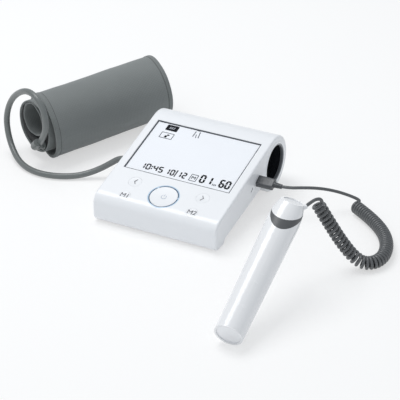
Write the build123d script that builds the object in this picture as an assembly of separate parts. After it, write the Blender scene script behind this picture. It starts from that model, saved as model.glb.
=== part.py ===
from build123d import *
import os
from math import cos, hypot, pi, radians, sin, sqrt, tan

# Upper arm blood pressure monitor with its cuff on an air hose and its
# hand-held sensor stick on a curly lead. Millimetres, +Z up. The case is
# described with X across it from its middle, Y back from the front of the
# nose and Z up from the table. The finished solids are moved so that the
# origin is under the middle of the front foot.

# Case
case_width = 131.0
case_wall = 2.2
case_edge_radius = 2.0
roll_radius = 28.6
roll_y = 132.4
roll_z = 29.6
panel_tilt = 12.8
nose_top_radius = 12.5
nose_bottom_radius = 7.0
foot_land_z = 1.0
foot_land_back = 18.0
underside_start_y = 20.5
underside_start_z = 5.4
underside_tilt = 8.7
step_radius = 1.5
roll_blend_radius = 4.0

# Base plate
base_parting_z = 3.3
base_back = 101.0
base_gap = 0.15

# Display
display_border = 8.75
display_bottom = 47.1
display_top = 122.2
display_gap = 0.1
frame_wall = 0.9
frame_flange = 1.2
frame_flange_thickness = 0.8
frame_recess = 0.3
ledge_width = 1.4
window_depth = 0.4
window_thickness = 0.7
window_gap = 0.1
ledge_thickness = 0.4
lcd_thickness = 2.0
backlight_thickness = 4.1
lcd_side_gap = 2.75

# Circuit board
board_thickness = 1.6
board_side_gap = 9.3
board_front = 5.0
board_back = 117.0
standoff_radius = 2.0
standoff_inset = 4.0
standoff_rows = [39.5, 12.0]
board_screw_radius = 1.0
board_screw_length = 5.0

# Keys
key_gap = 0.15
key_travel = 0.6
key_flange_width = 0.9
key_flange_thickness = 0.8
key_flange_gap = 0.1
key_dish = 0.25
arrow_key_radius = 6.5
memory_key_radius = 5.5
key_places = {
    "previous_key": (-35.6, 31.5, arrow_key_radius),
    "next_key": (36.1, 32.6, arrow_key_radius),
    "memory_key_1": (-36.2, 11.1, memory_key_radius),
    "memory_key_2": (35.0, 11.2, memory_key_radius),
}
start_s = 22.0
start_radius = 13.5
start_flange_width = 1.5
start_dish = 0.5
ring_inner_radius = 13.7
ring_outer_radius = 15.7
ring_flange_width = 1.5
ring_flange_thickness = 0.9
switch_size = 6.0
switch_height = 3.2
plunger_radius = 1.75
plunger_gap = 0.1

# Battery bay
cell_radius = 7.25
cell_length = 50.5
cell_nub_length = 1.0
cell_nub_radius = 2.75
cell_gap = 0.4
contact_room = 1.5
contact_thickness = 0.4
contact_size = 10.0
bay_start = 28.5
bay_wall = 1.6
cover_thickness = 2.8
cover_gap = 0.15
cover_pin_radius = 0.8
cover_pin_gap = 0.05
cover_pin_length = 1.2
grip_groove_pitch = 2.4
grip_groove_count = 5

# Housing screws and the posts they bite into
screw_side_gap = 5.8
screw_rows = [(9.6, 10.0), (77.9, 6.0)]
post_radius = 3.0
post_web = 1.4
screw_radius = 1.2
screw_head_radius = 2.2
screw_head_depth = 1.2
screw_bite = 5.0

# Pump and air line
pump_x = -35.0
motor_radius = 7.0
motor_length = 25.0
pump_head_radius = 7.8
pump_head_length = 14.0
manifold_length = 8.0
manifold_depth = 8.6
valve_radius = 4.5
valve_length = 16.0
pump_v = 13.7
pump_floor_gap = 0.3
cradle_rib = 1.6
air_tube_radius = 2.0
air_tube_bend = 4.0
air_tube_w = 6.5
air_tube_side_gap = 3.9
air_tube_v = 24.0
air_port_y = 86.0
air_port_z = 22.4
air_port_radius = 4.4
air_port_bore = 2.6
air_port_reach = 5.5
air_flange_radius = 5.6
air_flange_thickness = 0.9

# Parts on the underside of the board
buzzer_u = 30.0
buzzer_s = 98.0
buzzer_radius = 6.0
buzzer_height = 4.5
sensor_inset = 10.0
sensor_s = 20.0
sensor_size = 8.0
sensor_height = 4.0

# Stick store through the roll at the back of the case
store_radius = 20.0
store_wall = 1.5
store_end_gap = 10.3
store_cradle_depth = 9.0
mouth_ring_width = 2.6
mouth_ring_depth = 1.2
mouth_ring_proud = 0.3

# Socket for the stick's plug and the oblong slot before it
socket_y = 92.4
socket_z = 31.0
socket_turn = 22.0
plug_shell_width = 6.85
plug_shell_height = 1.8
plug_shell_reach = 6.5
plug_fit = 0.1
socket_size = (10.0, 6.0, 8.0)
slot_y = 78.9
slot_z = 27.8
slot_turn = 40.9
slot_length = 4.9
slot_width = 1.9
slot_recess = 0.6

# Feet
foot_length = 90.0
foot_width = 8.0
foot_middle = 11.5
foot_seat = 0.6
foot_corner = 3.0

# Plug of the lead
plug_face_gap = 0.2
plug_width = 11.4
plug_height = 6.4
plug_length = 17.0
plug_corner = 2.0
relief_radius = 2.9
relief_end_radius = 2.3
relief_length = 8.0
relief_groove = 0.35
relief_groove_count = 4

# Sensor stick
stick_foot = (138.4, -125.1, 12.4)
stick_face = (0.4339, -0.4419, 0.7851)
stick_heading = 88.2
stick_tilt = 28.6
stick_length = 141.0
stick_foot_radius = 13.1
stick_head_radius = 14.7
stick_shoulder_length = 23.0
stick_shoulder_radius = 61.0
stick_shoulder_steps = 5
stick_wall = 1.8
stick_foot_slant = -2.4
stick_top_slant = 10.7
stick_top_roll = 2.0
end_ring_height = 11.5
inlay_drop = 10.1
inlay_roll = 4.9
inlay_lower_slant = 27.2
inlay_upper_slant = 17.2
electrode_thickness = 1.0
electrode_recess = 0.8
electrode_gap = 0.05
stick_board_gap = 0.3
stick_board_start = 6.0
stick_board_end_gap = 27.5
stick_board_thickness = 1.2
gland_radius = 2.2
gland_length = 2.6
gland_drop = 1.5
gland_angle = 90.0
gland_rise = 55.0

# Lead
lead_radius = 1.55
coil_radius = 6.7

# Cuff
cuff_radius = 34.7
cuff_length = 145.8
cuff_cloth = 2.2
cuff_end = (-174.2, 90.06)
cuff_heading = 64.75
cuff_left_slant = (6.7, -2.5)
cuff_right_slant = (5.9, -3.0)
binding_length = 5.0
binding_lap = 0.4
wrap_radius = 28.5
wrap_cloth = 1.7
wrap_centre = (2.2, 2.0)
wrap_start = -10.0
wrap_end = 138.0
lining_radius = 19.3
lining_cloth = 1.8
lining_centre = (4.8, 8.5)
bladder_gap = 0.3
bladder_inset = 0.6
port_corner = (-10.5, -13.5)
port_s = -20.0
port_radius = 4.2
port_reach = 12.0

# Air hose
hose_radius = 3.15
hose_plug_radius = 4.8
hose_plug_length = 12.0
hose_nozzle_length = 5.0

# Routes of the cords, point by point, with X, Y and Z as for the case
hose_route = [
    (-78.4, 86.0, 22.4), (-84.6, 85.7, 21.0), (-91.2, 82.0, 16.4), (-99.5, 76.8, 11.0), (-109.5, 70.2, 6.3),
    (-121.5, 62.2, 3.5), (-136.5, 54.3, 3.3), (-154.5, 50.5, 3.3), (-172.5, 53.3, 3.4),
    (-188.3, 61.2, 5.0), (-202.0, 72.0, 10.0), (-212.5, 81.0, 20.5), (-217.0, 86.5, 37.0),
    (-209.5, 84.5, 57.5), (-194.5, 77.5, 74.0), (-177.0, 69.0, 84.0), (-162.5, 62.0, 83.0),
    (-153.0, 58.0, 74.0), (-149.5, 56.5, 60.5), (-152.5, 58.0, 46.0),
]
lead_route = [
    (98.6, 93.8, 31.0), (107.5, 98.6, 31.0), (116.4, 105.7, 29.5), (124.6, 113.6, 26.5),
    (132.8, 122.0, 22.0), (141.1, 127.7, 18.0), (149.2, 131.3, 14.5), (155.8, 131.8, 12.5),
    (160.3, 129.7, 11.5),
]
coil_route = [
    (157.4, 18.2, 70.2), (163.6, 20.9, 58.1), (169.8, 24.0, 46.0), (175.5, 27.3, 34.5),
    (181.6, 31.0, 23.5), (188.4, 34.3, 13.6), (197.4, 36.4, 7.6), (206.2, 43.2, 6.9),
    (209.6, 55.8, 6.9), (207.2, 71.0, 6.9), (201.4, 84.7, 6.9), (192.9, 97.0, 6.9),
    (181.2, 108.4, 6.9), (167.3, 119.0, 6.9), (154.5, 127.2, 6.9),
]
tail_route = [
    (155.0, 8.4, 76.4), (157.6, 13.2, 77.6), (161.0, 16.8, 76.8), (163.0, 19.2, 73.0),
]


# Planes that the pieces are drawn on
panel_rise = radians(panel_tilt)
panel_foot_z = roll_z + roll_radius / cos(panel_rise) - roll_y * tan(panel_rise)
panel = Plane(
    origin=(0, 0, panel_foot_z),
    x_dir=(1, 0, 0),
    z_dir=(0, -sin(panel_rise), cos(panel_rise)),
)
underside_rise = radians(underside_tilt)
underside = Plane(
    origin=(0, underside_start_y, underside_start_z),
    x_dir=(1, 0, 0),
    z_dir=(0, -sin(underside_rise), cos(underside_rise)),
)
half_case = case_width / 2
inner_half = half_case - case_wall
socket_plane = Plane(
    origin=(half_case, socket_y, socket_z),
    x_dir=(0, cos(radians(socket_turn)), sin(radians(socket_turn))),
    z_dir=(1, 0, 0),
)
slot_plane = Plane(
    origin=(half_case, slot_y, slot_z),
    x_dir=(0, cos(radians(slot_turn)), sin(radians(slot_turn))),
    z_dir=(1, 0, 0),
)
air_plane = Plane(origin=(-half_case, air_port_y, air_port_z), x_dir=(0, 1, 0), z_dir=(-1, 0, 0))
roll_plane = Plane(origin=(0, roll_y, roll_z), x_dir=(0, 1, 0), z_dir=(1, 0, 0))
cuff_plane = Plane(
    origin=(cuff_end[0], cuff_end[1], cuff_radius),
    x_dir=(-sin(radians(cuff_heading)), cos(radians(cuff_heading)), 0),
    z_dir=(cos(radians(cuff_heading)), sin(radians(cuff_heading)), 0),
)
stick_reach = cos(radians(stick_tilt))
stick_plane = Plane(
    origin=stick_foot,
    x_dir=stick_face,
    z_dir=(
        stick_reach * cos(radians(stick_heading)),
        stick_reach * sin(radians(stick_heading)),
        sin(radians(stick_tilt)),
    ),
)

# Depths below the panel's surface
window_bottom = window_depth + window_thickness
ledge_bottom = window_bottom + ledge_thickness
lcd_bottom = ledge_bottom + lcd_thickness
board_top = lcd_bottom + backlight_thickness
board_bottom = board_top + board_thickness
key_flange_top = case_wall + key_flange_gap
key_flange_bottom = key_flange_top + key_flange_thickness
ring_flange_bottom = case_wall + ring_flange_thickness
start_flange_top = ring_flange_bottom + key_flange_gap
start_flange_bottom = start_flange_top + key_flange_thickness

# Places across the case
display_width = case_width - 2 * display_border
board_width = 2 * (inner_half - board_side_gap)
standoff_u = board_width / 2 - standoff_inset
standoff_places = [(side * standoff_u, s) for s in standoff_rows for side in (-1, 1)]
sensor_u = board_width / 2 - sensor_inset
screw_x = inner_half - screw_side_gap
air_tube_x = -inner_half + air_tube_side_gap
store_end_x = -inner_half + store_end_gap

# Heights above the underside of the case
cell_w = cover_thickness + cell_gap + cell_radius
bay_ceiling = cell_w + cell_radius + cell_gap
bay_length = 4 * cell_radius + 3 * cell_gap
bay_half_width = cell_length + contact_room
bay_middle = bay_start + bay_length / 2
pump_w = case_wall + pump_floor_gap + pump_head_radius

# Heights along the stick from its foot
stick_head_w = stick_length - stick_shoulder_length
inlay_crossing = stick_length - inlay_drop
gland_w = stick_length - gland_drop


def underside_place(y, z):
    """Place along and above the underside of a point of the side view."""
    dy = y - underside_start_y
    dz = z - underside_start_z
    along = dy * cos(underside_rise) + dz * sin(underside_rise)
    above = dz * cos(underside_rise) - dy * sin(underside_rise)
    return along, above


def across(outline, half_width):
    """Solid of a side outline, reaching as far each way from the middle."""
    return extrude(Plane.YZ * outline, half_width, both=True)


def under_panel(outline, top, bottom):
    """Solid between two depths below the panel's surface."""
    return extrude(panel * Pos(0, 0, -bottom) * outline, bottom - top)


def over_underside(outline, low, high):
    """Solid between two heights above the underside."""
    return extrude(underside * Pos(0, 0, low) * outline, high - low)


def underside_cross(x, along, above):
    """Plane square to X at a place along and above the underside."""
    return Plane(
        origin=underside.from_local_coords(Vector(x, along, above)),
        x_dir=(0, cos(underside_rise), sin(underside_rise)),
        z_dir=(1, 0, 0),
    )


def ring(outer, inner):
    return Circle(outer) - Circle(inner)


def group(shapes):
    """Separate solids kept together as one sub-part."""
    return Compound([solid for shape in shapes for solid in shape.solids()])


def along_x(plane, outline, start, end):
    """Solid of an outline drawn on a side plane, between two distances from it."""
    return extrude(plane * Pos(0, 0, start) * outline, end - start)


def frame_sketch(width, length, border):
    return Rectangle(width, length) - Rectangle(width - 2 * border, length - 2 * border)


def rounded_path(points, name):
    """Straight runs joined by the largest tangent arcs that they leave room for."""
    corners = [Vector(*point) for point in points]
    radii = []
    for before, corner, after in zip(corners, corners[1:], corners[2:]):
        run_in = corner - before
        run_out = after - corner
        turn = radians(run_in.get_angle(run_out))
        shorter = min(run_in.length, run_out.length)
        radii.append(0.45 * shorter / tan(turn / 2))
    print(name, "radii", [round(radius, 1) for radius in radii])
    return FilletPolyline(*corners, radius=radii)


def tube_along(points, radius, name):
    path = rounded_path(points, name)
    start = Plane(origin=path @ 0, z_dir=path % 0)
    tube = sweep(start * Circle(radius), path=path)
    ideal = pi * radius ** 2 * path.length
    print(name, "length", round(path.length, 1), "volume / ideal", round(tube.volume / ideal, 4))
    return tube


# Side outlines of the case

def case_outline():
    """Side view: nose, sloping panel, roll at the back and rising underside."""
    tangent_y = roll_y - roll_radius * sin(panel_rise)
    tangent_z = roll_z + roll_radius * cos(panel_rise)
    inside_z = underside_start_z + (roll_y - underside_start_y) * tan(underside_rise)
    wedge = Polygon(
        (0, foot_land_z),
        (foot_land_back, foot_land_z),
        (underside_start_y, underside_start_z),
        (roll_y, inside_z),
        (tangent_y, tangent_z),
        (0, panel_foot_z),
        align=None,
    )
    corners = wedge.vertices().group_by(Axis.X)
    nose_low, nose_high = corners[0].sort_by(Axis.Y)
    wedge = fillet(nose_high, nose_top_radius)
    nose_low = wedge.vertices().sort_by(lambda v: hypot(v.X, v.Y - foot_land_z))[0]
    wedge = fillet(nose_low, nose_bottom_radius)
    for y, z in ((foot_land_back, foot_land_z), (underside_start_y, underside_start_z)):
        corner = wedge.vertices().sort_by(lambda v: hypot(v.X - y, v.Y - z))[0]
        wedge = fillet(corner, step_radius)
    outline = wedge + Pos(roll_y, roll_z) * Circle(roll_radius)
    meeting = [
        v
        for v in outline.vertices()
        if underside_start_y + step_radius * 3 < v.X < roll_y and v.Y < roll_z
    ]
    return fillet(meeting, roll_blend_radius)


def base_zone(gap):
    """Side view of the space that the base plate takes, with the given gap round it."""
    ceiling = underside_start_z + case_wall * 2
    back = base_back + gap
    return Polygon(
        (-1, 0),
        (-1, base_parting_z + gap),
        (nose_bottom_radius + 3, base_parting_z + gap),
        (foot_land_back, ceiling),
        (back, ceiling + (back - foot_land_back) * tan(underside_rise)),
        (back, 0),
        align=None,
    )


case_side = case_outline()
case_hollow_side = offset(case_side, -case_wall)


# Case pieces

def display_sketch(shrink):
    """Outline of the display opening, smaller by the given margin all round."""
    middle = (display_bottom + display_top) / 2
    length = display_top - display_bottom
    return Pos(0, middle) * Rectangle(display_width - 2 * shrink, length - 2 * shrink)


def make_upper_housing():
    body = across(case_side, half_case)
    rims = body.edges().filter_by_position(Axis.X, half_case - 0.01, half_case + 0.01)
    rims += body.edges().filter_by_position(Axis.X, -half_case - 0.01, -half_case + 0.01)
    body = fillet(rims, case_edge_radius)
    body -= across(case_hollow_side, inner_half)
    body -= across(base_zone(base_gap), inner_half)

    body -= under_panel(display_sketch(0), -1, case_wall + 1)
    body -= under_panel(Pos(0, start_s) * Circle(ring_outer_radius), -1, case_wall + 1)
    for u, s, radius in key_places.values():
        body -= under_panel(Pos(u, s) * Circle(radius + key_gap), -1, case_wall + 3)

    for u, s in standoff_places:
        spot = Pos(u, s)
        body += under_panel(spot * Circle(standoff_radius), case_wall - 0.5, board_top)
        body -= under_panel(spot * Circle(board_screw_radius), case_wall + 1, board_top)

    for v, height in screw_rows:
        for side in (-1, 1):
            web_end = half_case - case_wall / 2
            web_middle = (screw_x + web_end) / 2
            web = Pos(side * web_middle, v) * Rectangle(web_end - screw_x, post_web)
            post = Pos(side * screw_x, v) * Circle(post_radius) + web
            body += over_underside(post, case_wall, case_wall + height)
            pilot = Pos(side * screw_x, v) * Circle(screw_radius)
            body -= over_underside(pilot, case_wall, case_wall + screw_bite)

    store_outer = store_radius + store_wall
    cradle = ring(store_outer + case_wall, store_outer)
    body += along_x(roll_plane, cradle, -inner_half - case_wall / 2, -inner_half + store_cradle_depth)
    body -= along_x(roll_plane, Circle(store_outer), inner_half - 1, half_case + 1)
    ring_seat = Circle(store_radius + mouth_ring_width)
    body -= along_x(roll_plane, ring_seat, half_case - mouth_ring_depth, half_case + 1)

    plug_hole = RectangleRounded(plug_shell_width + 0.4, plug_shell_height + 0.4, 0.9)
    body -= along_x(socket_plane, plug_hole, -case_wall - 1, 1)
    body -= along_x(slot_plane, SlotOverall(slot_length, slot_width), -case_wall - 1, 1)
    body -= along_x(air_plane, Circle(air_port_radius), -case_wall - 1, 1)
    body -= rear_foot_block()
    return body


def foot_block(middle_y):
    outline = RectangleRounded(foot_length, foot_width, foot_corner)
    return extrude(Pos(0, middle_y, 0) * outline, foot_land_z + foot_seat)


def rear_foot_block():
    return foot_block(roll_y)


def front_foot_block():
    return foot_block(foot_middle)


def make_foot(block):
    return fillet(block.edges().group_by(Axis.Z)[0], 0.3)


def make_lower_housing():
    half_width = half_case - case_wall - base_gap
    skin = case_side - case_hollow_side
    plate = across(skin & base_zone(0), half_width)

    bay_outer_half = bay_half_width + bay_wall
    block = Pos(0, bay_middle) * Rectangle(2 * bay_outer_half, bay_length + 2 * bay_wall)
    plate += over_underside(block, case_wall / 2, bay_ceiling + bay_wall)
    room = Pos(0, bay_middle) * Rectangle(2 * bay_half_width, bay_length)
    plate -= over_underside(room, -1, bay_ceiling)
    hinge_v, hinge_w = cover_hinge()
    pin_hole = Circle(cover_pin_radius + cover_pin_gap)
    hole_half = bay_half_width + cover_pin_length + 0.1
    plate -= extrude(underside_cross(0, hinge_v, hinge_w) * pin_hole, hole_half, both=True)

    for x, radius in cradle_places():
        rib = Pos(x, pump_v) * Rectangle(cradle_rib, 2 * radius + 2)
        plate += over_underside(rib, case_wall / 2, pump_w)
        plate -= pump_cylinder(radius, x - cradle_rib, x + cradle_rib)

    for v, _ in screw_rows:
        for side in (-1, 1):
            spot = Pos(side * screw_x, v)
            plate -= over_underside(spot * Circle(screw_radius), -1, case_wall + 1)
            plate -= over_underside(spot * Circle(screw_head_radius), -1, screw_head_depth)
    plate -= front_foot_block()
    return plate


def cradle_places():
    """Where the ribs under the pump motor and the valve stand, with their seat radii."""
    valve_start = pump_x + motor_length + pump_head_length + manifold_length
    return [
        (pump_x + 5, motor_radius),
        (pump_x + motor_length - 5, motor_radius),
        (valve_start + valve_length / 2, valve_radius),
    ]


def pump_cylinder(radius, start, end):
    """Cylinder along X on the pump's axis."""
    return extrude(underside_cross(start, pump_v, pump_w) * Circle(radius), end - start)


def cover_hinge():
    """Place of the battery cover's pivot, along and above the underside."""
    pin_w = cover_thickness / 2
    return bay_start + bay_length - cover_gap - pin_w, pin_w


def make_battery_cover():
    hinge_v, hinge_w = cover_hinge()
    half_length = bay_half_width - cover_gap
    front = bay_start + cover_gap
    side = Polygon(
        (front, 0),
        (hinge_v, 0),
        (hinge_v, cover_thickness),
        (front, cover_thickness),
        align=None,
    ) + Pos(hinge_v, hinge_w) * Circle(hinge_w)
    cover = extrude(underside_cross(0, 0, 0) * side, half_length, both=True)
    pins = underside_cross(0, hinge_v, hinge_w) * Circle(cover_pin_radius)
    cover += extrude(pins, half_length + cover_pin_length, both=True)
    for row in range(grip_groove_count):
        groove_v = front + 3 + row * grip_groove_pitch
        groove = Pos(0, groove_v) * SlotOverall(24, 1.2)
        cover -= over_underside(groove, -1, 0.5)
    return cover


def make_batteries():
    cells = []
    for row in (0, 1):
        v = bay_start + cell_gap + cell_radius + row * (2 * cell_radius + cell_gap)
        for cell in (0, 1):
            start = (cell - 1) * cell_length
            flip = row == 0
            body_start = start + (cell_nub_length if flip else 0)
            nub_start = start if flip else start + cell_length - cell_nub_length
            can = extrude(
                underside_cross(body_start, v, cell_w) * Circle(cell_radius),
                cell_length - cell_nub_length,
            )
            nub = extrude(underside_cross(nub_start, v, cell_w) * Circle(cell_nub_radius), cell_nub_length)
            cells.append(can + nub)
    return group(cells)


def make_battery_contacts():
    contacts = []
    for row in (0, 1):
        v = bay_start + cell_gap + cell_radius + row * (2 * cell_radius + cell_gap)
        for side in (-1, 1):
            wall_x = side * bay_half_width
            plate_x = wall_x - side * contact_thickness / 2
            spot = underside_cross(plate_x, v, cell_w)
            plate = spot * Box(contact_size, contact_size, contact_thickness)
            reach = contact_room - contact_thickness
            cone_x = wall_x - side * (contact_thickness + reach / 2)
            low_radius, high_radius = (3.2, 1.6) if side < 0 else (1.6, 3.2)
            cone = underside_cross(cone_x, v, cell_w) * Cone(low_radius, high_radius, reach)
            contacts.append(plate + cone)
    return group(contacts)


def make_display_frame():
    opening = display_top - display_bottom
    middle = (display_top + display_bottom) / 2
    outer_width = display_width - 2 * display_gap
    outer_length = opening - 2 * display_gap
    place = Pos(0, middle)
    wall = place * frame_sketch(outer_width, outer_length, frame_wall)
    body = under_panel(wall, frame_recess, case_wall + frame_flange_thickness)
    ledge = place * frame_sketch(outer_width, outer_length, frame_wall + ledge_width)
    body += under_panel(ledge, window_bottom, ledge_bottom)
    flange = place * frame_sketch(
        outer_width + 2 * frame_flange,
        outer_length + 2 * frame_flange,
        frame_flange + frame_wall,
    )
    body += under_panel(flange, case_wall, case_wall + frame_flange_thickness)
    return body


def make_display_window():
    outline = display_sketch(display_gap + frame_wall + window_gap)
    return under_panel(outline, window_depth, window_bottom)


def lcd_sketch():
    """Outline of the glass, which is narrower than the frame's inside."""
    size = display_sketch(display_gap + frame_wall).bounding_box().size
    middle = (display_top + display_bottom) / 2
    return Pos(0, middle) * Rectangle(size.X - 2 * lcd_side_gap, size.Y)


def make_lcd_glass():
    return under_panel(lcd_sketch(), ledge_bottom, lcd_bottom)


def make_backlight_panel():
    return under_panel(lcd_sketch(), lcd_bottom, board_top)


def make_main_board():
    middle = (board_front + board_back) / 2
    outline = Pos(0, middle) * RectangleRounded(board_width, board_back - board_front, 2)
    for u, s in standoff_places:
        outline -= Pos(u, s) * Circle(board_screw_radius)
    return under_panel(outline, board_top, board_bottom)


def make_board_screws():
    screws = []
    for u, s in standoff_places:
        spot = Pos(u, s)
        shank = under_panel(spot * Circle(board_screw_radius), board_bottom - board_screw_length, board_bottom)
        head = under_panel(spot * Circle(board_screw_radius * 2), board_bottom, board_bottom + 1.2)
        screws.append(shank + head)
    return group(screws)


def flat_part():
    """The part of the panel behind the curve of the nose."""
    flat_start = nose_top_radius * tan(radians(90 - panel_tilt) / 2)
    return Pos(0, flat_start + display_top / 2) * Rectangle(case_width, display_top)


def make_key(u, s, radius):
    """Flush key cap that follows the case's outline, with a flange behind the wall."""
    outline = Pos(u, s) * Circle(radius)
    cap = under_panel(outline, -1, key_flange_bottom) & across(case_side, half_case)
    flange = Pos(u, s) * Circle(radius + key_gap + key_flange_width) & flat_part()
    cap += under_panel(flange, key_flange_top, key_flange_bottom)
    dish_radius = (radius ** 2 + key_dish ** 2) / (2 * key_dish)
    cap -= panel * Pos(u, s + 1, dish_radius - key_dish) * Sphere(dish_radius)
    return cap


def make_start_button():
    spot = Pos(0, start_s)
    button = under_panel(spot * Circle(start_radius), -1, start_flange_top)
    button &= across(case_side, half_case)
    flange = spot * Circle(start_radius + start_flange_width) & flat_part()
    button += under_panel(flange, start_flange_top, start_flange_bottom)
    dish_radius = (start_radius ** 2 + start_dish ** 2) / (2 * start_dish)
    button -= panel * Pos(0, start_s, dish_radius - start_dish) * Sphere(dish_radius)
    return button


def make_start_light_ring():
    spot = Pos(0, start_s)
    body = under_panel(spot * ring(ring_outer_radius, ring_inner_radius), -1, ring_flange_bottom)
    body &= across(case_side, half_case)
    flange = spot * ring(ring_outer_radius + ring_flange_width, ring_inner_radius) & flat_part()
    return body + under_panel(flange, case_wall, ring_flange_bottom)


def make_key_switches():
    places = [(u, s, key_flange_bottom) for u, s, _ in key_places.values()]
    places.append((0, start_s, start_flange_bottom))
    switches = []
    for u, s, flange_bottom in places:
        spot = Pos(u, s)
        plunger_top = flange_bottom + key_travel + plunger_gap
        body_top = board_top - switch_height + 0.6
        can = under_panel(spot * RectangleRounded(switch_size, switch_size, 0.5), body_top, board_top)
        plunger = under_panel(spot * Circle(plunger_radius), plunger_top, body_top)
        switches.append(can + plunger)
    return group(switches)


def make_pump_motor():
    motor = pump_cylinder(motor_radius, pump_x, pump_x + motor_length)
    return motor + pump_cylinder(motor_radius / 3, pump_x - 1.5, pump_x)


def make_pump_head():
    start = pump_x + motor_length
    head = pump_cylinder(pump_head_radius, start, start + pump_head_length)
    return chamfer(head.edges(), 0.6)


def manifold_start():
    return pump_x + motor_length + pump_head_length


def make_air_manifold():
    start = manifold_start()
    spot = underside * Pos(start + manifold_length / 2, pump_v, pump_w - 1)
    return spot * Box(manifold_length, manifold_depth, manifold_depth)


def make_exhaust_valve():
    start = manifold_start() + manifold_length
    valve = pump_cylinder(valve_radius, start, start + valve_length)
    return valve + pump_cylinder(valve_radius * 0.6, start + valve_length, start + valve_length + 2)


def make_air_tubes():
    start_x = manifold_start() + manifold_length / 2
    port_v, port_w = underside_place(air_port_y, air_port_z)
    points = [
        (start_x, pump_v + manifold_depth / 2, air_tube_w),
        (start_x, air_tube_v, air_tube_w),
        (air_tube_x, air_tube_v, air_tube_w),
        (air_tube_x, port_v - air_port_radius, air_tube_w),
    ]
    corners = [underside.from_local_coords(Vector(*point)) for point in points]
    path = FilletPolyline(*corners, radius=air_tube_bend)
    start = Plane(origin=path @ 0, z_dir=path % 0)
    return sweep(start * Circle(air_tube_radius), path=path)


def make_air_socket():
    barrel = along_x(air_plane, Circle(air_port_radius), -case_wall - air_port_reach, 0)
    barrel += along_x(air_plane, Circle(air_flange_radius), 0, air_flange_thickness)
    return barrel - along_x(air_plane, Circle(air_port_bore), -hose_nozzle_length - 0.5, 5)


def make_buzzer():
    outline = Pos(buzzer_u, buzzer_s) * Circle(buzzer_radius)
    body = under_panel(outline, board_bottom, board_bottom + buzzer_height)
    hole = Pos(buzzer_u, buzzer_s) * Circle(1.0)
    return body - under_panel(hole, board_bottom + buzzer_height - 1, board_bottom + buzzer_height + 1)


def make_pressure_sensor():
    spot = Pos(sensor_u, sensor_s)
    body = under_panel(spot * Rectangle(sensor_size, sensor_size), board_bottom, board_bottom + sensor_height)
    nozzle_bottom = board_bottom + sensor_height + 3
    return body + under_panel(spot * Circle(1.3), board_bottom + sensor_height, nozzle_bottom)


def make_stick_tube():
    mouth = half_case - mouth_ring_depth
    outer = store_radius + store_wall
    tube = along_x(roll_plane, Circle(outer), store_end_x, mouth)
    return tube - along_x(roll_plane, Circle(store_radius), store_end_x + store_wall, mouth + 1)


def make_tube_mouth_ring():
    outline = ring(store_radius + mouth_ring_width, store_radius)
    body = along_x(roll_plane, outline, half_case - mouth_ring_depth, half_case + mouth_ring_proud)
    return chamfer(body.edges().group_by(Axis.X)[-1], mouth_ring_proud / 2)


def make_usb_socket():
    width, height, depth = socket_size
    block = along_x(socket_plane, RectangleRounded(width, height, 0.8), -case_wall - depth, -case_wall)
    cavity = RectangleRounded(plug_shell_width + 2 * plug_fit, plug_shell_height + 2 * plug_fit, 0.6)
    return block - along_x(socket_plane, cavity, -plug_shell_reach - 0.5, 1)


def make_side_slot_insert():
    insert = along_x(slot_plane, SlotOverall(slot_length, slot_width), -case_wall, -slot_recess)
    back = SlotOverall(slot_length + 1.6, slot_width + 1.6)
    return insert + along_x(slot_plane, back, -case_wall - 1, -case_wall)


def make_housing_screws():
    screws = []
    for v, _ in screw_rows:
        for side in (-1, 1):
            spot = Pos(side * screw_x, v)
            shank = over_underside(spot * Circle(screw_radius), screw_head_depth, case_wall + screw_bite)
            head = over_underside(spot * Circle(screw_head_radius), 0.2, screw_head_depth)
            head -= over_underside(spot * Rectangle(2.4, 0.6), -1, 0.6)
            head -= over_underside(spot * Rectangle(0.6, 2.4), -1, 0.6)
            screws.append(shank + head)
    return group(screws)


# Plug of the lead

def make_usb_plug_body():
    outline = RectangleRounded(plug_width, plug_height, plug_corner)
    body = along_x(socket_plane, outline, plug_face_gap, plug_face_gap + plug_length)
    body = fillet(body.edges().group_by(Axis.X)[-1], 0.8)
    for ridge in range(4):
        place = plug_face_gap + 6 + ridge * 2
        for side in (-1, 1):
            cut = socket_plane * Pos(0, side * plug_height / 2, place) * Box(plug_width * 0.6, 0.6, 0.8)
            body -= cut
    return body


def make_usb_plug_shell():
    outline = RectangleRounded(plug_shell_width, plug_shell_height, 0.5)
    return along_x(socket_plane, outline, -plug_shell_reach, plug_face_gap)


def relief_start():
    return plug_face_gap + plug_length


def make_plug_strain_relief():
    """Tapered sleeve with grooves turned into it."""
    start = relief_start()
    profile = Polygon(
        (0, start),
        (relief_radius, start),
        (relief_end_radius, start + relief_length),
        (0, start + relief_length),
        align=None,
    )
    pitch = relief_length / (relief_groove_count + 1)
    for groove in range(relief_groove_count):
        height = start + pitch * (groove + 1)
        radius = relief_radius + (relief_end_radius - relief_radius) * (groove + 1) / (relief_groove_count + 1)
        profile -= Pos(radius, height) * Rectangle(2 * relief_groove, pitch / 2)
    sleeve = revolve(Plane.XZ * profile, Axis.Z)
    return socket_plane * sleeve


def lead_points():
    """Route of the straight part of the lead, from the strain relief's end."""
    tip = socket_plane.from_local_coords(Vector(0, 0, relief_start() + relief_length))
    return [(tip.X, tip.Y, tip.Z)] + lead_route


def make_lead_straight():
    return tube_along(lead_points(), lead_radius, "lead_straight")


def make_lead_coil():
    return tube_along(coil_route, coil_radius, "lead_coil")


def make_lead_tail():
    start = gland_point(gland_length)
    return tube_along([(start.X, start.Y, start.Z)] + tail_route, lead_radius, "lead_tail")


# Sensor stick

def shoulder_fall(w):
    """How far the stick's wall has curved in at a height above its head."""
    rise = w - stick_head_w
    return stick_shoulder_radius - sqrt(stick_shoulder_radius ** 2 - rise ** 2)


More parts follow.
